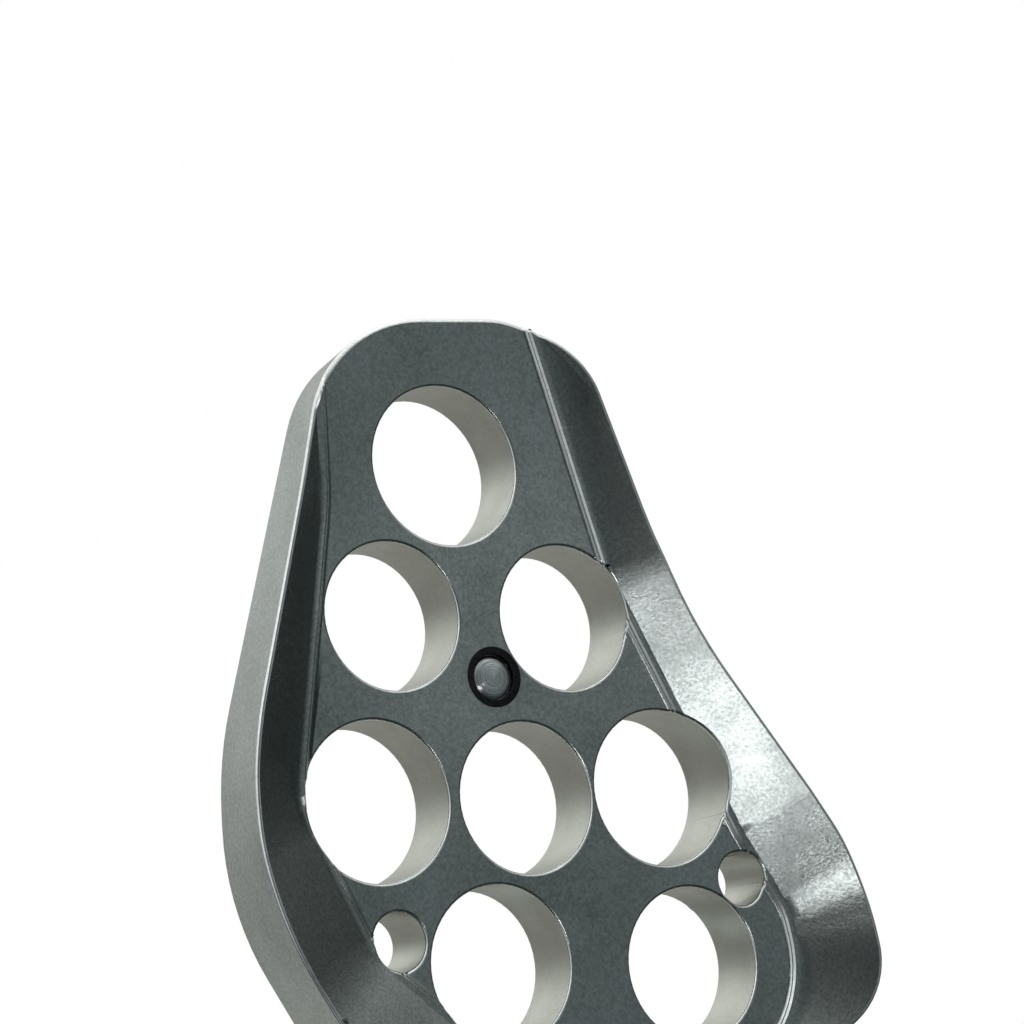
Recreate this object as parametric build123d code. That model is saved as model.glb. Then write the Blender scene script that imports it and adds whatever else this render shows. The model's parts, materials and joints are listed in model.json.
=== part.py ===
"""Swing-cheek rope pulley, hanging open from the head eye of its front cheek.

Two thick cheeks carry a ball-bearing sheave on one axle. The front cheek hangs from its head
eye. The rear cheek turns on the axle: it hangs straight down when the pulley is open, and half a
turn brings it up behind the front cheek, where the lock plunger meets its spacer post.

The pieces are drawn in the face of the front cheek, x to the right, y up and z out of the front
face, and stand() turns each one upright at the end. The origin is the middle of the head eye.
"""

import math
import os

from build123d import *

os.makedirs("parts", exist_ok=True)

# Cheeks
WEB = 9.5  # thickness of the pocket floor
LAND = 7.0  # height of the uncut face above the pocket floor
DRAFT = 6.7  # degrees, the outer wall narrows towards the back
OUTLINE_LEVEL = 5.0  # height above the pocket floor where OUTLINE is the true size
GAP = 20.0  # clear width between the cheeks
STEP = 0.6  # height of the small step round the pocket
LEDGE = 1.2  # flat ledge on top of that step
STEP_BREAK = 0.25  # chamfer on the step's edge
POCKET_FILLET = 0.9  # fillet at the foot of the step
RIM_SLOPE = 27.5  # degrees, the rim rises outwards
RIM_REACH = 14.0  # how far out the sloping cut runs

SEAT_R = 11.8  # counterbore for the axle's head, or for its nut
SEAT_FLOOR = 2.0  # height of that counterbore's floor above the pocket floor

# Outside shape of a cheek, clockwise from the top left: corner x, y, radius
OUTLINE = [
    (-12.7, 22.7, 20.3),
    (24.0, 18.6, 16.1),
    (29.9, -23.6, 96.0),
    (48.9, -66.8, 38.0),
    (48.2, -84.0, 12.2),
    (20.5, -96.5, 12.0),
    (17.4, -119.5, 15.5),
    (-14.0, -119.5, 16.5),
    (-23.7, -105.4, 39.7),
    (-43.5, -51.8, 39.3),
    (-39.8, -31.9, 53.2),
]

# Edge of the pocket, clockwise from above the head, where it runs out: corner x, y, radius
POCKET = [
    (-13.4, 27.0, 1.0),
    (17.0, 27.0, 1.0),
    (21.4, -20.0, 25.0),
    (32.6, -57.5, 20.0),
    (37.4, -69.4, 10.0),
    (37.4, -92.2, 15.7),
    (-8.5, -82.8, 6.0),
    (-26.8, -61.0, 12.0),
    (-32.6, -40.5, 14.0),
    (-19.0, -2.0, 40.0),
]

# Round holes through a cheek: x, y, radius
HEAD_EYE = (0.0, 0.0, 11.0)
EYES = [
    HEAD_EYE,
    (-13.2, -18.8, 10.0),
    (13.1, -23.3, 10.0),
    (-21.6, -42.3, 10.7),
    (0.8, -46.1, 10.2),
    (22.3, -48.8, 10.7),
    (-8.8, -66.8, 10.6),
    (20.9, -73.1, 10.4),
]
PIN_HOLES = [(-23.0, -60.6, 3.9), (31.9, -63.6, 3.7)]
LOCK = (0.0, -29.4)
AXLE = (2.0, -102.5)

# Axle, nut and bush
AXLE_R = 6.0
AXLE_HEAD_R = 10.5
AXLE_HEAD_T = 5.0
HEAD_DOME = 1.6  # how far the head's edge is rounded down
KEY_FLATS = 8.0  # hexagon socket in the head
KEY_DEPTH = 3.2
NUT_FLATS = 19.0
NUT_T = 6.0
NUT_WASHER_R = 11.2
NUT_WASHER_T = 1.4
BUSH_R = 8.0
BUSH_FLANGE_R = 10.6
BUSH_FLANGE_T = 1.2
RUNNING = 0.05  # radial clearance of a running fit
END_PLAY = 0.1  # gap between faces that turn past each other

# Ball bearings
BEARING_R = 12.0
BEARING_W = 6.0
INNER_RING_R = 8.0  # outside of the inner ring
OUTER_RING_R = 10.0  # inside of the outer ring
PITCH_R = 9.0
BALL_R = 1.75
BALLS = 11
RACE_PLAY = 0.05
CAGE_R = 9.5
CAGE_BORE_R = 8.5
CAGE_HALF_W = 2.3
POCKET_PLAY = 0.1
SHIELD_T = 0.3
SHIELD_INSET = 0.15
SHOULDER = 1.3  # half width of the shoulder between the bearings
SHOULDER_R = 10.6

# Sheave and its circlips
SHEAVE_R = 22.0
SHEAVE_W = 18.0
SHEAVE_BREAK = 0.5  # chamfer on the bore and on the flanges' edges
TREAD_R = 15.6  # smallest radius of the rope groove
GROOVE_R = 7.2  # radius of the groove's section
CIRCLIP_T = 1.0
CIRCLIP_R = 12.6
CIRCLIP_BORE_R = 11.2
CIRCLIP_GAP = 5.0
CIRCLIP_EAR_R = 1.3
CIRCLIP_EYE_R = 0.6
CIRCLIP_PLAY = 0.05

# Lock: a push plunger in the front cheek, and the spacer post it enters
SLEEVE_R = 4.15
SLEEVE_BORE_R = 3.55
LIP_R = 3.1  # bore of the sleeve's front lip
LIP_T = 0.8
PLUNGER_R = 3.05
PLUNGER_CONE = 0.35  # height of the cone turned on the plunger's face
COLLAR_R = 3.5
COLLAR_T = 1.6
STEM_R = 1.6
PLUG_T = 1.8
LOCK_TRAVEL = 3.0
SPRING_WIRE_R = 0.3
SPRING_R = 2.5
SPRING_TURNS = 4.5
POST_R = 6.0
POST_SEAT = 2.0  # depth of the post's spigot in the rear cheek
SPIGOT_R = 4.5
SOCKET_R = 1.9
SOCKET_DEPTH = 5.0
SCREW_R = 2.5
SCREW_HEAD_R = 4.6
SCREW_HEAD_T = 2.6
SCREW_KEY_FLATS = 4.0
SCREW_KEY_DEPTH = 1.6

FRONT_FACE = WEB / 2  # pocket floor of the front cheek
BACK_FACE = -WEB / 2
REAR_INNER = BACK_FACE - GAP
REAR_WEB = REAR_INNER - WEB
REAR_SEAT = REAR_WEB - SEAT_FLOOR
MIDDLE = BACK_FACE - GAP / 2
FRONT_BEARING = MIDDLE + SHOULDER + BEARING_W / 2
REAR_BEARING = MIDDLE - SHOULDER - BEARING_W / 2


def closed_line(corners, out=0.0):
    """The closed line through rounded corners, with every side moved outwards by out."""
    count = len(corners)
    places = [Vector(x, y) for x, y, radius in corners]
    ways = [(places[(i + 1) % count] - places[i]).normalized() for i in range(count)]
    points, rounds = [], []
    for i, (x, y, radius) in enumerate(corners):
        before, after = ways[i - 1], ways[i]
        left = Vector(-before.Y, before.X)
        right = Vector(-after.Y, after.X)
        points.append(places[i] + (left + right) * (out / (1 + left.dot(right))))
        convex = before.cross(after).Z < 0
        rounds.append(radius + out if convex else radius - out)
    return FilletPolyline(*points, radius=rounds, close=True)


def disc(radius, low, high, at=(0.0, 0.0)):
    """A round bar along z from low to high."""
    return Pos(at[0], at[1], (low + high) / 2) * Cylinder(radius, abs(high - low))


def ring(outer, inner, low, high, at=(0.0, 0.0)):
    return disc(outer, low, high, at) - disc(inner, low - 1, high + 1, at)


def turned(points, at=(0.0, 0.0)):
    """A solid turned about z from a section given as radius and height."""
    section = make_face(Polyline(*[(r, 0, z) for r, z in points], close=True))
    return Pos(at[0], at[1], 0) * revolve(section, Axis.Z)


def hexagon(flats, low, high, at=(0.0, 0.0)):
    """A six-sided bar, flats across."""
    outline = Pos(at[0], at[1], low) * RegularPolygon(flats / 2, 6, major_radius=False)
    return extrude(outline, high - low)


def pocket_cutter():
    """What the cutter takes off the face: the stepped pocket and the sloping rim round it."""
    top = FRONT_FACE + LAND + 2
    well = extrude(make_face(closed_line(POCKET)), top - FRONT_FACE)
    well = fillet(well.faces().sort_by(Axis.Z)[0].edges(), POCKET_FILLET)
    well = Pos(0, 0, FRONT_FACE) * well
    edge = Pos(0, 0, FRONT_FACE + STEP - STEP_BREAK) * make_face(closed_line(POCKET))
    broken = Pos(0, 0, FRONT_FACE + STEP) * make_face(closed_line(POCKET, STEP_BREAK))
    lip = loft([edge, broken], ruled=True)
    rise = (RIM_REACH - LEDGE) * math.tan(math.radians(RIM_SLOPE))
    low = Pos(0, 0, FRONT_FACE + STEP) * make_face(closed_line(POCKET, LEDGE))
    high = Pos(0, 0, FRONT_FACE + STEP + rise) * make_face(closed_line(POCKET, RIM_REACH))
    rim = loft([low, high], ruled=True)
    return [well, lip, rim]


def make_cheek(axle_bore):
    """A cheek without its lock hole, face forwards: a drafted blank, cut from the front."""
    lean = math.tan(math.radians(DRAFT))
    small = make_face(closed_line(OUTLINE, -lean * (WEB + OUTLINE_LEVEL)))
    large = make_face(closed_line(OUTLINE, lean * (LAND - OUTLINE_LEVEL)))
    back, front = Pos(0, 0, BACK_FACE), Pos(0, 0, FRONT_FACE + LAND)
    cheek = loft([back * small, front * large], ruled=True)
    for cutter in pocket_cutter():
        cheek = cheek - cutter
    for x, y, radius in EYES + PIN_HOLES:
        cheek = cheek - disc(radius, BACK_FACE - 1, FRONT_FACE + LAND + 1, (x, y))
    cheek = cheek - disc(SEAT_R, FRONT_FACE + SEAT_FLOOR, FRONT_FACE + LAND + 1, AXLE)
    return cheek - disc(axle_bore, BACK_FACE - 1, FRONT_FACE + LAND, AXLE)


def make_front_cheek():
    return make_cheek(AXLE_R) - disc(SLEEVE_R, BACK_FACE - 1, FRONT_FACE + 1, LOCK)


def make_rear_cheek():
    """The front cheek's mirror image behind the sheave, turned half way round the axle."""
    cheek = mirror(make_cheek(BUSH_R), Plane.XY.offset(MIDDLE))
    cheek = cheek - disc(SPIGOT_R, REAR_INNER - POST_SEAT, REAR_INNER + 1, LOCK)
    cheek = cheek - disc(SCREW_R, REAR_WEB - 1, REAR_INNER, LOCK)
    cheek = cheek - disc(SCREW_HEAD_R, REAR_WEB - 1, REAR_WEB + SCREW_HEAD_T, LOCK)
    return hung(cheek)


def hung(piece):
    """A piece of the rear cheek, from its closed place to where it hangs when open."""
    return Pos(*AXLE) * Rot(0, 0, 180) * Pos(-AXLE[0], -AXLE[1]) * piece


def make_sheave():
    """A grooved wheel with a seat for a bearing and a groove for a circlip on each side."""
    half = SHEAVE_W / 2
    wheel = disc(SHEAVE_R, MIDDLE - half, MIDDLE + half, AXLE)
    wheel = chamfer(wheel.edges().filter_by(GeomType.CIRCLE), SHEAVE_BREAK)
    centre = TREAD_R + GROOVE_R
    groove = Plane.XZ * Pos(centre, MIDDLE) * Circle(GROOVE_R)
    flare = Plane.XZ * make_face(
        Polyline(
            (centre, MIDDLE - GROOVE_R),
            (centre, MIDDLE + GROOVE_R),
            (SHEAVE_R - 2.5, MIDDLE + GROOVE_R - 0.5),
            (SHEAVE_R - 2.5, MIDDLE - GROOVE_R + 0.5),
            close=True,
        )
    )
    wheel = wheel - Pos(*AXLE) * revolve(groove, Axis.Z)
    wheel = wheel - Pos(*AXLE) * revolve(flare, Axis.Z)
    wheel = wheel - disc(SHOULDER_R, MIDDLE - half - 1, MIDDLE + half + 1, AXLE)
    for side in (1, -1):
        face = MIDDLE + side * (half + 1)
        low, high = sorted((MIDDLE + side * SHOULDER, face))
        wheel = wheel - disc(BEARING_R, low, high, AXLE)
        clip = MIDDLE + side * (SHOULDER + BEARING_W)
        low, high = sorted((clip, clip + side * CIRCLIP_T))
        wheel = wheel - disc(CIRCLIP_R + CIRCLIP_PLAY, low, high, AXLE)
    return wheel


def make_circlip(low, high):
    """An internal circlip: an open ring with two eyed ears at the gap."""
    clip = ring(CIRCLIP_R, CIRCLIP_BORE_R, low, high, AXLE)
    x, y = AXLE
    middle = (low + high) / 2
    clip = clip - Pos(x, y - CIRCLIP_R, middle) * Box(CIRCLIP_GAP, CIRCLIP_R, 2 * CIRCLIP_T)
    reach = CIRCLIP_BORE_R - CIRCLIP_EAR_R / 3
    for side in (1, -1):
        across = side * (CIRCLIP_GAP / 2 + CIRCLIP_EAR_R)
        ear = (x + across, y - math.sqrt(reach**2 - across**2))
        clip = clip + disc(CIRCLIP_EAR_R, low, high, ear)
        clip = clip - disc(CIRCLIP_EYE_R, low - 1, high + 1, ear)
    return clip


def raceway(middle):
    """The path that the balls sweep, a little larger than the balls."""
    return Pos(*AXLE, middle) * Torus(PITCH_R, BALL_R + RACE_PLAY)


def ball_places(middle):
    """Where the balls of a bearing sit, each with its own x axis pointing outwards."""
    for i in range(BALLS):
        yield Pos(*AXLE, middle) * Rot(0, 0, 360 * i / BALLS) * Pos(PITCH_R, 0, 0)


def make_bearing(middle, outside):
    """The rings, balls, cage and shield of one bearing; outside is 1 or -1 along z."""
    low, high = middle - BEARING_W / 2, middle + BEARING_W / 2
    outer_ring = ring(BEARING_R, OUTER_RING_R, low, high, AXLE) - raceway(middle)
    inner_ring = ring(INNER_RING_R, AXLE_R, low, high, AXLE) - raceway(middle)
    balls = Compound([place * Sphere(BALL_R) for place in ball_places(middle)])
    cage = ring(CAGE_R, CAGE_BORE_R, middle - CAGE_HALF_W, middle + CAGE_HALF_W, AXLE)
    for place in ball_places(middle):
        cage = cage - place * Rot(0, 90, 0) * Cylinder(BALL_R + POCKET_PLAY, 2 * BALL_R)
    face = middle + outside * (BEARING_W / 2 - SHIELD_INSET)
    low, high = sorted((face, face - outside * SHIELD_T))
    shield = ring(OUTER_RING_R, INNER_RING_R + 0.15, low, high, AXLE)
    return {
        "bearing_outer_ring": outer_ring,
        "bearing_inner_ring": inner_ring,
        "bearing_balls": balls,
        "bearing_cage": cage,
        "bearing_shield": shield,
    }


def make_axle():
    """A shouldered bolt: domed head with a hexagon socket at the front, nut end at the back."""
    x, y = AXLE
    seat = FRONT_FACE + SEAT_FLOOR
    top = seat + AXLE_HEAD_T
    head = disc(AXLE_HEAD_R, seat, top, AXLE)
    head = fillet(head.edges().sort_by(Axis.Z)[-1], HEAD_DOME)
    end = REAR_SEAT - BUSH_FLANGE_T - END_PLAY - NUT_WASHER_T - NUT_T - 1.5
    shank = disc(AXLE_R, end, seat, AXLE)
    shank = chamfer(shank.edges().sort_by(Axis.Z)[0], 0.8)
    return head + shank - hexagon(KEY_FLATS, top - KEY_DEPTH, top + 1, AXLE)


def make_nut():
    """A self-locking hexagon nut with its collar."""
    top = REAR_SEAT - BUSH_FLANGE_T - END_PLAY - NUT_WASHER_T
    nut = hexagon(NUT_FLATS, top - NUT_T, top, AXLE)
    corner = NUT_FLATS / math.sqrt(3)
    cone = turned(
        [
            (0, top - NUT_T),
            (corner - 1.4, top - NUT_T),
            (corner + 0.1, top - NUT_T + 0.9),
            (corner + 0.1, top + 0.01),
            (0, top + 0.01),
        ],
        AXLE,
    )
    return (nut & cone) - disc(AXLE_R, top - NUT_T - 1, top + 1, AXLE)


def make_bush():
    """The rear cheek's flanged bush."""
    bush = ring(BUSH_R, AXLE_R + RUNNING, REAR_SEAT, REAR_INNER, AXLE)
    flange_low = REAR_SEAT - BUSH_FLANGE_T
    return bush + ring(BUSH_FLANGE_R, AXLE_R + RUNNING, flange_low, REAR_SEAT, AXLE)


def make_lock():
    """The push plunger with its sleeve, spring and plug, in the front cheek."""
    plug_top = BACK_FACE + PLUG_T
    collar_top = FRONT_FACE - LIP_T
    collar_low = collar_top - COLLAR_T
    sleeve = ring(SLEEVE_R, SLEEVE_BORE_R, BACK_FACE, FRONT_FACE, LOCK)
    sleeve = sleeve + ring(SLEEVE_BORE_R, LIP_R, collar_top, FRONT_FACE, LOCK)
    plug = ring(SLEEVE_BORE_R, STEM_R + RUNNING, BACK_FACE, plug_top, LOCK)
    face = FRONT_FACE - 0.1
    plunger = turned(
        [
            (0, face),
            (PLUNGER_R - 0.5, face - PLUNGER_CONE),
            (PLUNGER_R, face - PLUNGER_CONE - 0.3),
            (PLUNGER_R, collar_top),
            (COLLAR_R, collar_top),
            (COLLAR_R, collar_low),
            (STEM_R, collar_low),
            (STEM_R, BACK_FACE + 0.6),
            (STEM_R - 0.5, BACK_FACE + 0.1),
            (0, BACK_FACE + 0.1),
        ],
        LOCK,
    )
    low, high = plug_top + SPRING_WIRE_R, collar_low - SPRING_WIRE_R
    path = Helix((high - low) / SPRING_TURNS, high - low, SPRING_R)
    wire = Plane(origin=path @ 0, z_dir=path % 0) * Circle(SPRING_WIRE_R)
    spring = Pos(*LOCK, low) * sweep(wire, path=path)
    return sleeve, plunger, spring, plug


def make_post():
    """The spacer post on the rear cheek, with the socket that the plunger enters."""
    top = BACK_FACE - END_PLAY
    post = disc(POST_R, REAR_INNER, top, LOCK)
    post = chamfer(post.edges().sort_by(Axis.Z)[-1], 0.6)
    post = post + disc(SPIGOT_R, REAR_INNER - POST_SEAT, REAR_INNER, LOCK)
    post = post - disc(SOCKET_R, top - SOCKET_DEPTH, top + 1, LOCK)
    return hung(post - disc(SCREW_R, REAR_INNER - POST_SEAT - 1, MIDDLE, LOCK))


def make_post_screw():
    """The countersunk-in screw that holds the post from the rear cheek's outer face."""
    under = REAR_WEB + SCREW_HEAD_T
    head = disc(SCREW_HEAD_R - 0.1, REAR_WEB + 0.2, under, LOCK)
    head = chamfer(head.edges().sort_by(Axis.Z)[0], 0.4)
    screw = head + disc(SCREW_R, under, MIDDLE - 1, LOCK)
    return hung(screw - hexagon(SCREW_KEY_FLATS, REAR_WEB, REAR_WEB + 0.2 + SCREW_KEY_DEPTH, LOCK))


def stand(piece):
    """Turns a piece upright: y becomes +Z and the front face looks along -Y."""
    return Plane.XZ.location * piece


pieces = {
    "front_cheek": make_front_cheek(),
    "rear_cheek": make_rear_cheek(),
    "sheave": make_sheave(),
    "axle": make_axle(),
    "axle_nut": make_nut(),
    "rear_cheek_bush": make_bush(),
    "spacer_post": make_post(),
    "post_screw": make_post_screw(),
}
washer_top = REAR_SEAT - BUSH_FLANGE_T - END_PLAY
pieces["nut_washer"] = ring(NUT_WASHER_R, AXLE_R, washer_top - NUT_WASHER_T, washer_top, AXLE)
pieces["bearing_spacer"] = ring(
    INNER_RING_R, AXLE_R, MIDDLE - SHOULDER, MIDDLE + SHOULDER, AXLE
)
for side, middle, outside in (("front", FRONT_BEARING, 1), ("rear", REAR_BEARING, -1)):
    for name, piece in make_bearing(middle, outside).items():
        pieces[f"{side}_{name}"] = piece
    clip = middle + outside * BEARING_W / 2
    pieces[f"{side}_circlip"] = make_circlip(*sorted((clip, clip + outside * CIRCLIP_T)))
pieces["front_thrust_washer"] = ring(
    INNER_RING_R, AXLE_R, FRONT_BEARING + BEARING_W / 2, BACK_FACE, AXLE
)
pieces["rear_thrust_washer"] = ring(
    INNER_RING_R, AXLE_R, REAR_INNER + END_PLAY, REAR_BEARING - BEARING_W / 2, AXLE
)
lock_names = ("lock_sleeve", "lock_plunger", "lock_spring", "lock_plug")
pieces.update(zip(lock_names, make_lock()))

for name, piece in pieces.items():
    export_step(stand(piece), f"parts/{name}.step")
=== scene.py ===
"""The looks of the swing-cheek rope pulley, hanging open from the head eye of its front cheek."""

import json
import math

import bmesh
import bpy
from mathutils import Matrix, Vector

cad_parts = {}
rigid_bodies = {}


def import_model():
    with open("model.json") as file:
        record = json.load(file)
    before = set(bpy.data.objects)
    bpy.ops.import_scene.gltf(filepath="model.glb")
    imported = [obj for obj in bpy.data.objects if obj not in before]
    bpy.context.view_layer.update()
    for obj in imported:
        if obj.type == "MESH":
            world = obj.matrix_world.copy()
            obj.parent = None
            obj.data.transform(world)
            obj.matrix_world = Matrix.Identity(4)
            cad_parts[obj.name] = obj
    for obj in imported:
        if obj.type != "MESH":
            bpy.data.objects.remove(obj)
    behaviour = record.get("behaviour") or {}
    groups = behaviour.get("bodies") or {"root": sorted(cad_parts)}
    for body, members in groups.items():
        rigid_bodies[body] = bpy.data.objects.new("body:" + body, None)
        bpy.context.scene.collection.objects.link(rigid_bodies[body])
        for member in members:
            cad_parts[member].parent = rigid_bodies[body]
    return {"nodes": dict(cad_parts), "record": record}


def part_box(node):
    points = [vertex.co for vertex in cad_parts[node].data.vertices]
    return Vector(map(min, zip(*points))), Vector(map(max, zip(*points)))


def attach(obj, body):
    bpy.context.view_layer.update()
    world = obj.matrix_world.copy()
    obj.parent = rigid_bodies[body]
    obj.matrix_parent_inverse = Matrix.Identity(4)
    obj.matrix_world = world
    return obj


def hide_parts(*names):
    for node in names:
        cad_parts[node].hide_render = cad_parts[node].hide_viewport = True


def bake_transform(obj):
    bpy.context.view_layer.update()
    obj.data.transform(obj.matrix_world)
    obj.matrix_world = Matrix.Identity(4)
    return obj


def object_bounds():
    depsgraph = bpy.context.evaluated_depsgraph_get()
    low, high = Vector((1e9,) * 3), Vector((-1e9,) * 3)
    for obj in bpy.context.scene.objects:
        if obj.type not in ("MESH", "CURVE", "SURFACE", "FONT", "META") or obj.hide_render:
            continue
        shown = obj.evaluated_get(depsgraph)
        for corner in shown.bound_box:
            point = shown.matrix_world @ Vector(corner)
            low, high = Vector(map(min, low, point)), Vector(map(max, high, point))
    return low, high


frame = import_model()
nodes = frame["nodes"]
record = frame["record"]
cad_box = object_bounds()

MM = 0.001
OPENING_SHARE = 0.66  # half the side of an eye's clear box, as a share of its radius

# Broken edges
CREST_BREAK = 0.65 * MM  # polished edge all round the front of a cheek
EYE_BREAK = 0.38 * MM  # rims of the eyes and pin holes
BACK_BREAK = 0.3 * MM  # edge round the flat back of a cheek
TURNED_BREAK = 0.25 * MM  # axle, nut, washers, sheave and lock
THIN_BREAK = 0.08 * MM  # circlips, shields and rings
SHARP = math.radians(35)  # edges sharper than this are broken
CREASE = math.radians(28)  # edges sharper than this are not smoothed over
WALL_LEAN = 0.3  # most that a wall's normal leans out of the cheek's plane
FLAT_LEAN = 0.85  # least that a flat's normal leans that way
EYE_SLACK = 0.35 * MM  # how near a point must be to an eye's circle to be on it
TRIM, BORE = 1, 2  # material slots of the broken edges and of the eyes' walls

AXLE_CENTRE = (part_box("axle")[0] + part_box("axle")[1]) / 2
LOCK_CENTRE = (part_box("lock_plunger")[0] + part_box("lock_plunger")[1]) / 2
POST_CENTRE = (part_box("spacer_post")[0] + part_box("spacer_post")[1]) / 2

# ---------------------------------------------------------------- shader groups


def add(tree, kind, **settings):
    """A shader node; inputs holds its unlinked sockets by name or number."""
    node = tree.nodes.new(kind)
    sockets = settings.pop("inputs", {})
    for key, value in settings.items():
        setattr(node, key, value)
    for key, value in sockets.items():
        node.inputs[key].default_value = value
    return node


def new_group(name, inputs, outputs):
    """An empty shader group with the named inputs and outputs."""
    group = bpy.data.node_groups.new(name, "ShaderNodeTree")
    for label, kind, value in inputs:
        socket = group.interface.new_socket(label, in_out="INPUT", socket_type=kind)
        socket.default_value = value
    for label in outputs:
        group.interface.new_socket(label, in_out="OUTPUT", socket_type="NodeSocketFloat")
    return group, group.nodes.new("NodeGroupInput"), group.nodes.new("NodeGroupOutput")


def tumbled_grain():
    """The fine sandy grain of tumbled metal, and soft patches where it is handled."""
    group, inlet, outlet = new_group(
        "Tumbled grain",
        [("Grain", "NodeSocketFloat", 3000.0), ("Patch", "NodeSocketFloat", 90.0)],
        ["Height", "Speckle", "Patches"],
    )
    join = group.links.new
    place = add(group, "ShaderNodeTexCoord")
    fine = add(group, "ShaderNodeTexNoise", inputs={"Detail": 3.0, "Roughness": 0.6})
    soft = add(group, "ShaderNodeTexNoise", inputs={"Detail": 5.0, "Roughness": 0.6})
    speckle = add(group, "ShaderNodeMapRange", inputs={"From Min": 0.34, "From Max": 0.66})
    patches = add(group, "ShaderNodeMapRange", inputs={"From Min": 0.35, "From Max": 0.65})
    join(place.outputs["Object"], fine.inputs["Vector"])
    join(inlet.outputs["Grain"], fine.inputs["Scale"])
    join(place.outputs["Object"], soft.inputs["Vector"])
    join(inlet.outputs["Patch"], soft.inputs["Scale"])
    join(fine.outputs["Fac"], speckle.inputs["Value"])
    join(soft.outputs["Fac"], patches.inputs["Value"])
    join(fine.outputs["Fac"], outlet.inputs["Height"])
    join(speckle.outputs["Result"], outlet.inputs["Speckle"])
    join(patches.outputs["Result"], outlet.inputs["Patches"])
    return group


def tool_marks():
    """Rings left by a lathe round a centre, and the feed lines left along a bore."""
    group, inlet, outlet = new_group(
        "Tool marks",
        [("Centre", "NodeSocketVector", (0.0, 0.0, 0.0)), ("Pitch", "NodeSocketFloat", 6000.0)],
        ["Rings", "Feed lines"],
    )
    join = group.links.new
    place = add(group, "ShaderNodeTexCoord")
    shift = add(group, "ShaderNodeVectorMath", operation="SUBTRACT")
    across = add(group, "ShaderNodeVectorMath", operation="MULTIPLY")
    across.inputs[1].default_value = (1.0, 0.0, 1.0)
    reach = add(group, "ShaderNodeVectorMath", operation="LENGTH")
    rings = add(group, "ShaderNodeTexNoise", noise_dimensions="1D", inputs={"Detail": 2.0})
    depth = add(group, "ShaderNodeSeparateXYZ")
    lines = add(group, "ShaderNodeTexNoise", noise_dimensions="1D", inputs={"Detail": 2.0})
    join(place.outputs["Object"], shift.inputs[0])
    join(inlet.outputs["Centre"], shift.inputs[1])
    join(shift.outputs["Vector"], across.inputs[0])
    join(across.outputs["Vector"], reach.inputs[0])
    join(reach.outputs["Value"], rings.inputs["W"])
    join(inlet.outputs["Pitch"], rings.inputs["Scale"])
    join(place.outputs["Object"], depth.inputs[0])
    join(depth.outputs["Y"], lines.inputs["W"])
    join(inlet.outputs["Pitch"], lines.inputs["Scale"])
    join(rings.outputs["Fac"], outlet.inputs["Rings"])
    join(lines.outputs["Fac"], outlet.inputs["Feed lines"])
    return group


def scuffs():
    """Sparse short scratches and small dents, as a mask."""
    group, inlet, outlet = new_group(
        "Scuffs",
        [("Size", "NodeSocketFloat", 160.0), ("Amount", "NodeSocketFloat", 0.3)],
        ["Mask"],
    )
    join = group.links.new
    place = add(group, "ShaderNodeTexCoord")
    slant = add(group, "ShaderNodeMapping")
    slant.inputs["Rotation"].default_value = (0.4, 0.9, 0.2)
    slant.inputs["Scale"].default_value = (1.0, 1.0, 9.0)
    streak = add(group, "ShaderNodeTexNoise", inputs={"Detail": 2.0, "Roughness": 0.5})
    where = add(group, "ShaderNodeTexNoise", inputs={"Scale": 70.0, "Detail": 2.0})
    thin = add(group, "ShaderNodeMapRange", inputs={"From Min": 0.66, "From Max": 0.72})
    few = add(group, "ShaderNodeMapRange", inputs={"From Min": 0.5, "From Max": 0.62})
    both = add(group, "ShaderNodeMath", operation="MULTIPLY")
    level = add(group, "ShaderNodeMath", operation="MULTIPLY")
    join(place.outputs["Object"], slant.inputs["Vector"])
    join(slant.outputs["Vector"], streak.inputs["Vector"])
    join(inlet.outputs["Size"], streak.inputs["Scale"])
    join(place.outputs["Object"], where.inputs["Vector"])
    join(streak.outputs["Fac"], thin.inputs["Value"])
    join(where.outputs["Fac"], few.inputs["Value"])
    join(thin.outputs["Result"], both.inputs[0])
    join(few.outputs["Result"], both.inputs[1])
    join(both.outputs[0], level.inputs[0])
    join(inlet.outputs["Amount"], level.inputs[1])
    join(level.outputs[0], outlet.inputs["Mask"])
    return group


FINE_GRAIN = 2200.0  # grain features in a metre
GRAIN = tumbled_grain()
MARKS = tool_marks()
SCUFFS = scuffs()

# ---------------------------------------------------------------- materials


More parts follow.
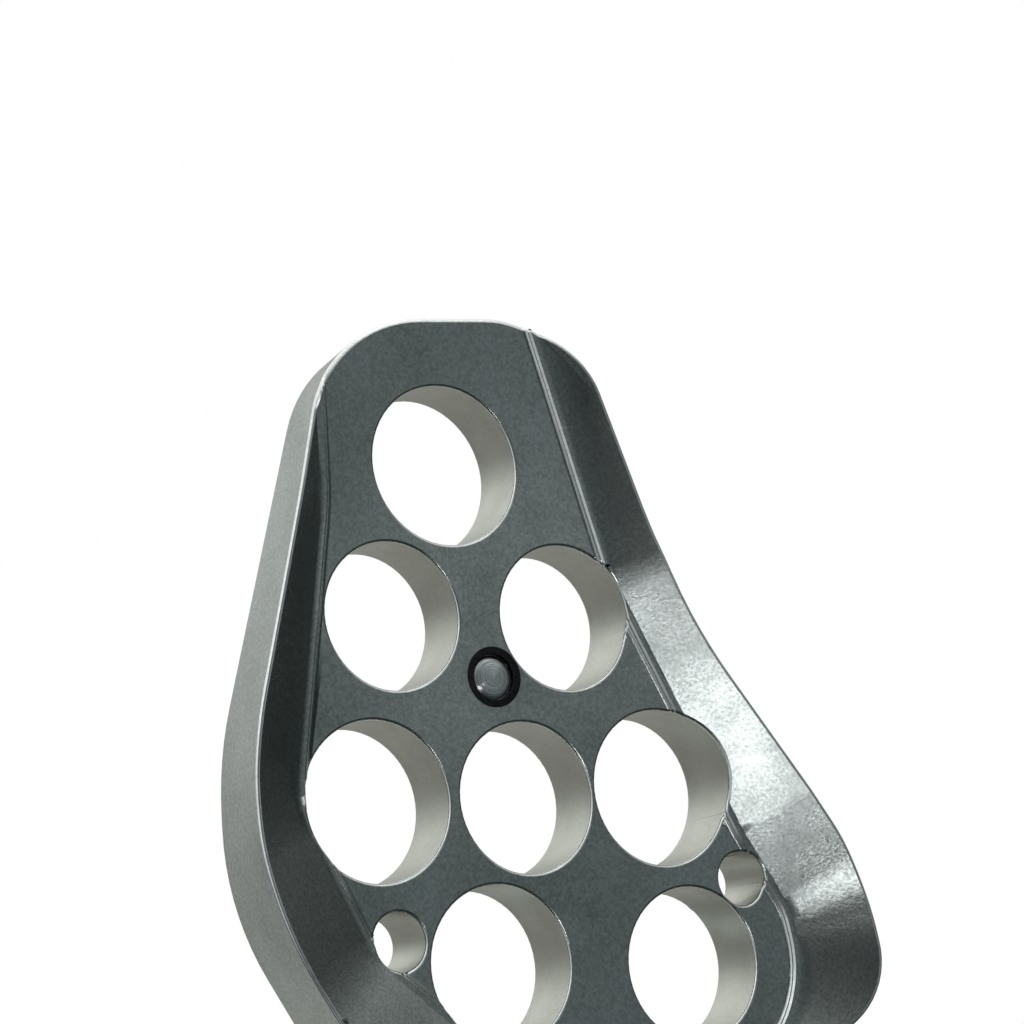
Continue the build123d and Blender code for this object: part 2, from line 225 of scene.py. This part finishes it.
def metal(
    name, light, dark, roughness, grain=0.3, spread=0.03, rings=0.0, feed=0.0,
    centre=AXLE_CENTRE, pitch=6000.0, patch=110.0, scuffed=0.25, specks=0.5, cut=0.05 * MM,
):
    """Bare metal: two tones over grain and patches, with grain and tool marks as relief."""
    material = bpy.data.materials.new(name)
    material.use_nodes = True
    tree = material.node_tree
    join = tree.links.new
    shader = tree.nodes["Principled BSDF"]
    shader.inputs["Metallic"].default_value = 1.0
    texture = add(
        tree, "ShaderNodeGroup", node_tree=GRAIN, inputs={"Patch": patch, "Grain": FINE_GRAIN}
    )
    scratch = add(tree, "ShaderNodeGroup", node_tree=SCUFFS, inputs={"Amount": scuffed})
    small = add(tree, "ShaderNodeMath", operation="MULTIPLY", inputs={1: specks})
    both = add(tree, "ShaderNodeMath", operation="MULTIPLY_ADD", inputs={1: 1.0 - specks})
    worn = add(tree, "ShaderNodeMath", operation="ADD", use_clamp=True)
    tone = add(tree, "ShaderNodeMix", data_type="RGBA")
    tone.inputs["A"].default_value = (*dark, 1.0)
    tone.inputs["B"].default_value = (*light, 1.0)
    rough = add(
        tree,
        "ShaderNodeMapRange",
        inputs={"To Min": roughness + spread, "To Max": roughness - spread},
    )
    join(texture.outputs["Speckle"], small.inputs[0])
    join(texture.outputs["Patches"], both.inputs[0])
    join(small.outputs[0], both.inputs[2])
    join(both.outputs[0], worn.inputs[0])
    join(scratch.outputs["Mask"], worn.inputs[1])
    join(worn.outputs[0], tone.inputs["Factor"])
    join(tone.outputs["Result"], shader.inputs["Base Color"])
    join(texture.outputs["Patches"], rough.inputs["Value"])
    join(rough.outputs["Result"], shader.inputs["Roughness"])
    relief = add(tree, "ShaderNodeBump", inputs={"Strength": grain, "Distance": 0.05 * MM})
    join(texture.outputs["Height"], relief.inputs["Height"])
    normal = relief.outputs["Normal"]
    if rings or feed:
        marks = add(tree, "ShaderNodeGroup", node_tree=MARKS, inputs={"Pitch": pitch})
        marks.inputs["Centre"].default_value = centre
        for label, depth in (("Rings", rings), ("Feed lines", feed)):
            if depth:
                cut = add(
                    tree, "ShaderNodeBump", inputs={"Strength": depth, "Distance": cut}
                )
                join(marks.outputs[label], cut.inputs["Height"])
                join(normal, cut.inputs["Normal"])
                normal = cut.outputs["Normal"]
    join(normal, shader.inputs["Normal"])
    return material


cheek_face = metal(
    "Cheek face", (0.60, 0.645, 0.635), (0.29, 0.32, 0.315), 0.27, grain=0.36, patch=42.0,
    specks=0.55, spread=0.04,
)
cheek_bore = metal(
    "Cheek bore", (0.56, 0.575, 0.53), (0.46, 0.475, 0.435), 0.34, grain=0.2, feed=0.3,
    pitch=1800.0, patch=160.0, scuffed=0.15,
)
polished_edge = metal(
    "Polished edge", (0.88, 0.90, 0.90), (0.66, 0.68, 0.68), 0.24, grain=0.3, patch=700.0
)
sheave_metal = metal(
    "Sheave metal", (0.66, 0.67, 0.67), (0.58, 0.59, 0.59), 0.24, grain=0.08, rings=0.25
)
fastener_steel = metal(
    "Fastener steel", (0.62, 0.62, 0.60), (0.52, 0.52, 0.51), 0.26, grain=0.08, rings=0.15
)
post_metal = metal(
    "Post metal", (0.60, 0.61, 0.60), (0.50, 0.51, 0.50), 0.30, grain=0.1, feed=0.25
)
screw_steel = metal(
    "Screw steel", (0.60, 0.60, 0.59), (0.50, 0.50, 0.49), 0.26, grain=0.08, rings=0.15,
    centre=POST_CENTRE,
)
bearing_steel = metal(
    "Bearing steel", (0.68, 0.68, 0.67), (0.62, 0.62, 0.61), 0.14, grain=0.03, rings=0.06
)
cage_brass = metal("Cage brass", (0.74, 0.54, 0.26), (0.62, 0.44, 0.20), 0.30, grain=0.1)
bush_bronze = metal(
    "Bush bronze", (0.60, 0.40, 0.23), (0.48, 0.31, 0.17), 0.32, grain=0.1, rings=0.15
)
blackened_steel = metal(
    "Blackened steel", (0.05, 0.05, 0.054), (0.02, 0.02, 0.022), 0.32, grain=0.15, rings=0.05,
    centre=LOCK_CENTRE,
)
plunger_steel = metal(
    "Plunger steel", (0.86, 0.88, 0.89), (0.70, 0.72, 0.73), 0.20, grain=0.05, rings=1.0,
    centre=LOCK_CENTRE, pitch=4200.0, cut=0.07 * MM,
)
spring_steel = metal("Spring steel", (0.52, 0.52, 0.53), (0.42, 0.42, 0.43), 0.24, grain=0.05)

FINISHES = {
    "cheek_metal": cheek_face,
    "sheave_metal": sheave_metal,
    "fastener_steel": fastener_steel,
    "post_metal": post_metal,
    "bearing_steel": bearing_steel,
    "cage_brass": cage_brass,
    "bush_bronze": bush_bronze,
    "blackened_steel": blackened_steel,
    "plunger_steel": plunger_steel,
    "spring_steel": spring_steel,
}

SLOTS = {name: node.material_slots[0].material.name for name, node in nodes.items()}
for node in nodes.values():
    for place in node.material_slots:
        place.material = FINISHES[place.material.name]

# ---------------------------------------------------------------- machined copies


def eyes_of(record):
    """Middle (x, z) and radius of every round hole through the two cheeks."""
    found = []
    for mount in record["mounts"]:
        if mount["kind"] == "bore":
            x, _, z = mount["pos_m"]
            found.append((x, z, mount["dims"]["r_mm"] * MM))
    for opening in record["physics"]["openings"]:
        low, high = opening["box_m"]
        half = (high[0] - low[0]) / 2
        found.append(((low[0] + high[0]) / 2, (low[2] + high[2]) / 2, half / OPENING_SHARE))
    return found


EYES = eyes_of(record)


def is_wall(face):
    """Whether a face stands square, or nearly, to the cheek's plane."""
    return abs(face.normal.y) < WALL_LEAN


def in_eye(point):
    """Whether a point lies on the wall of a round hole."""
    return any(
        abs(math.hypot(point.x - x, point.z - z) - radius) < EYE_SLACK for x, z, radius in EYES
    )


def rim_wall(bm):
    """The faces of a cheek's outer wall, all the way round."""
    waiting = [max((face for face in bm.faces if is_wall(face)), key=lambda face: face.calc_area())]
    found = set(waiting)
    while waiting:
        for edge in waiting.pop().edges:
            for face in edge.link_faces:
                if face not in found and is_wall(face) and edge.calc_face_angle(0) < CREASE:
                    found.add(face)
                    waiting.append(face)
    return found


def cheek_breaks(bm, sharp):
    """How far each sharp edge of a cheek is broken, most along the front of its outer wall."""
    outer = rim_wall(bm)
    front = -1 if sum(face.normal.y * face.calc_area() ** 2 for face in bm.faces) > 0 else 1
    widths = {}
    for edge in sharp:
        walls = [face for face in edge.link_faces if is_wall(face)]
        flats = [face for face in edge.link_faces if not is_wall(face)]
        if len(walls) != 1:
            continue
        if walls[0] in outer:
            widths[edge] = CREST_BREAK if flats[0].normal.y * front > 0 else BACK_BREAK
        elif all(in_eye(vert.co) for vert in edge.verts):
            widths[edge] = EYE_BREAK
    for face in bm.faces:
        middle = face.calc_center_median()
        if is_wall(face) and in_eye(middle):
            face.material_index = BORE
        elif face not in outer and abs(face.normal.y) < FLAT_LEAN:
            face.material_index = TRIM
    return widths


def machined_copy(name, finish, width=None, trim=None, bore=None):
    """A node's shape as one joined mesh whose sharp edges are broken and polished."""
    source = nodes[name]
    bm = bmesh.new()
    bm.from_mesh(source.data)
    bmesh.ops.remove_doubles(bm, verts=bm.verts, dist=0.02 * MM)
    bm.normal_update()
    weight = bm.edges.layers.float.new("bevel_weight_edge")
    sharp = [edge for edge in bm.edges if edge.calc_face_angle_signed(0) > SHARP]
    for face in bm.faces:
        face.smooth = True
        face.material_index = 0
    for edge in bm.edges:
        edge.smooth = edge.calc_face_angle(0) < CREASE
    widths = dict.fromkeys(sharp, width) if width else cheek_breaks(bm, sharp)
    widest = max(widths.values())
    for edge, broken in widths.items():
        edge[weight] = broken / widest
    mesh = bpy.data.meshes.new(name + "_machined")
    bm.to_mesh(mesh)
    bm.free()
    mesh.attributes.remove(mesh.attributes["custom_normal"])
    for surface in (finish, trim or finish, bore or finish):
        mesh.materials.append(surface)
    piece = bpy.data.objects.new(name + "_machined", mesh)
    bpy.context.scene.collection.objects.link(piece)
    bevel = piece.modifiers.new("Broken edges", "BEVEL")
    bevel.limit_method = "WEIGHT"
    bevel.width = widest
    bevel.segments = 3
    bevel.use_clamp_overlap = False
    bevel.loop_slide = False
    bevel.material = TRIM
    even = piece.modifiers.new("Even shading", "WEIGHTED_NORMAL")
    even.mode = "FACE_AREA_WITH_ANGLE"
    even.keep_sharp = True
    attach(piece, source.parent.name.removeprefix("body:"))
    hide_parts(name)
    return piece


for name in ("front_cheek", "rear_cheek"):
    machined_copy(name, cheek_face, trim=polished_edge, bore=cheek_bore)
for name in (
    "axle", "nut_washer", "rear_cheek_bush", "spacer_post", "sheave",
):
    machined_copy(name, FINISHES[SLOTS[name]], TURNED_BREAK)
machined_copy("post_screw", screw_steel, TURNED_BREAK)
for name in ("lock_sleeve", "lock_plunger"):
    machined_copy(name, FINISHES[SLOTS[name]], THIN_BREAK)
for side in ("front", "rear"):
    for part in ("circlip", "bearing_shield", "bearing_outer_ring", "thrust_washer"):
        name = f"{side}_{part}"
        machined_copy(name, FINISHES[SLOTS[name]], THIN_BREAK)

# The lock's coil between its plug and the plunger's collar, as a plain copy of its shape
coil = bpy.data.objects.new("lock_coil", nodes["lock_spring"].data.copy())
bpy.context.scene.collection.objects.link(coil)
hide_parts("lock_spring")
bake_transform(coil)

# ---------------------------------------------------------------- studio

FLOOR_DROP = 0.02
FLOOR_RADIUS = 1.5
bm = bmesh.new()
bmesh.ops.create_circle(bm, cap_ends=True, segments=96, radius=FLOOR_RADIUS)
bmesh.ops.translate(bm, verts=bm.verts, vec=(0, 0, cad_box[0].z - FLOOR_DROP))
floor_mesh = bpy.data.meshes.new("floor")
bm.to_mesh(floor_mesh)
bm.free()
floor = bpy.data.objects.new("floor", floor_mesh)
bpy.context.scene.collection.objects.link(floor)
floor.visible_glossy = False
floor_paint = bpy.data.materials.new("Floor paint")
floor_paint.use_nodes = True
paint = floor_paint.node_tree.nodes["Principled BSDF"]
paint.inputs["Base Color"].default_value = (0.8, 0.8, 0.8, 1.0)
paint.inputs["Roughness"].default_value = 0.9
floor_mesh.materials.append(floor_paint)

world = bpy.data.worlds.new("Studio")
bpy.context.scene.world = world
world.use_nodes = True
tree = world.node_tree
tree.nodes.clear()
join = tree.links.new
around = add(tree, "ShaderNodeTexCoord")
# Soft walls of light round the pulley: the way each lies, cosines it runs between, colour
WALLS = {
    "back": ((0.34, 0.94, 0.0), 0.15, 0.65, (0.37, 0.37, 0.345)),
    "left": ((-0.93, -0.30, 0.2), 0.58, 0.95, (0.50, 0.52, 0.52)),
    "roof": ((-0.2, 0.1, 0.97), 0.2, 0.95, (0.95, 0.97, 0.95)),
    "high right": ((0.6, -0.1, 0.79), 0.68, 0.95, (0.5, 0.52, 0.5)),
    "front right": ((0.50, -0.86, 0.1), 0.75, 0.98, (0.148, 0.168, 0.172)),
}
DIM = (0.018, 0.022, 0.022)  # the dark side of the room
total = None
for name, (way, start, end, colour) in WALLS.items():
    lean = add(tree, "ShaderNodeVectorMath", operation="DOT_PRODUCT", label=name)
    lean.inputs[1].default_value = Vector(way).normalized()
    shade = add(
        tree,
        "ShaderNodeMapRange",
        interpolation_type="SMOOTHSTEP",
        inputs={"From Min": start, "From Max": end},
    )
    glow = add(tree, "ShaderNodeVectorMath", operation="SCALE")
    glow.inputs[0].default_value = colour
    gather = add(tree, "ShaderNodeVectorMath", operation="ADD")
    gather.inputs[1].default_value = DIM
    join(around.outputs["Generated"], lean.inputs[0])
    join(lean.outputs["Value"], shade.inputs["Value"])
    join(shade.outputs["Result"], glow.inputs["Scale"])
    join(glow.outputs["Vector"], gather.inputs[0])
    if total is not None:
        join(total, gather.inputs[1])
    total = gather.outputs["Vector"]
ray = add(tree, "ShaderNodeLightPath")
pick = add(tree, "ShaderNodeMix", data_type="RGBA", inputs={"B": (1.0, 1.0, 1.0, 1.0)})
light = add(tree, "ShaderNodeBackground")
out = add(tree, "ShaderNodeOutputWorld")
join(total, pick.inputs["A"])
join(ray.outputs["Is Camera Ray"], pick.inputs["Factor"])
join(pick.outputs["Result"], light.inputs["Color"])
join(light.outputs["Background"], out.inputs["Surface"])



def softbox(name, place, aim, wide, tall, power, spread=180.0):
    """A rectangular soft light at place, turned towards aim; spread in degrees."""
    lamp = bpy.data.lights.new(name, "AREA")
    lamp.shape = "RECTANGLE"
    lamp.size = wide
    lamp.size_y = tall
    lamp.energy = power
    lamp.spread = math.radians(spread)
    holder = bpy.data.objects.new(name, lamp)
    holder.location = place
    holder.rotation_mode = "QUATERNION"
    holder.rotation_quaternion = (Vector(aim) - Vector(place)).to_track_quat("-Z", "Y")
    holder.visible_camera = False
    bpy.context.scene.collection.objects.link(holder)


# A narrow beam on the middle of the front cheek's right-hand rim
RIM_MIDDLE = (0.034, -0.009, -0.036)
softbox("Rim light", (-0.055, -0.297, -0.127), RIM_MIDDLE, 0.08, 0.07, 0.00108, spread=16)
# A small light where the plunger's end mirrors it to the camera
LOCK_GLINT = Vector((0.54, -0.84, 0.1)).normalized()
LOCK_DISTANCE = 0.3
LOCK_BOX = 0.024
softbox(
    "Lock light", LOCK_CENTRE + LOCK_DISTANCE * LOCK_GLINT, LOCK_CENTRE, LOCK_BOX, LOCK_BOX, 0.0018
)

# ---------------------------------------------------------------- camera

camera_data = bpy.data.cameras.new("Camera")
camera_data.sensor_width = 36.0
camera_data.lens = 108.47
camera_data.clip_start = 0.01
camera_data.clip_end = 20.0
camera = bpy.data.objects.new("Camera", camera_data)
right = Vector((0.8298, -0.5103, -0.2260)).normalized()
forward = Vector((0.5406, 0.8355, 0.0983)).normalized()
up = right.cross(forward).normalized()
turn = Matrix((right, up, -forward)).transposed()
CAMERA_PLACE = (-0.2188, -0.35645, -0.0492)
camera.matrix_world = Matrix.Translation(CAMERA_PLACE) @ turn.to_4x4()
bpy.context.scene.collection.objects.link(camera)
bpy.context.scene.camera = camera
bpy.context.scene.view_settings.view_transform = "Standard"
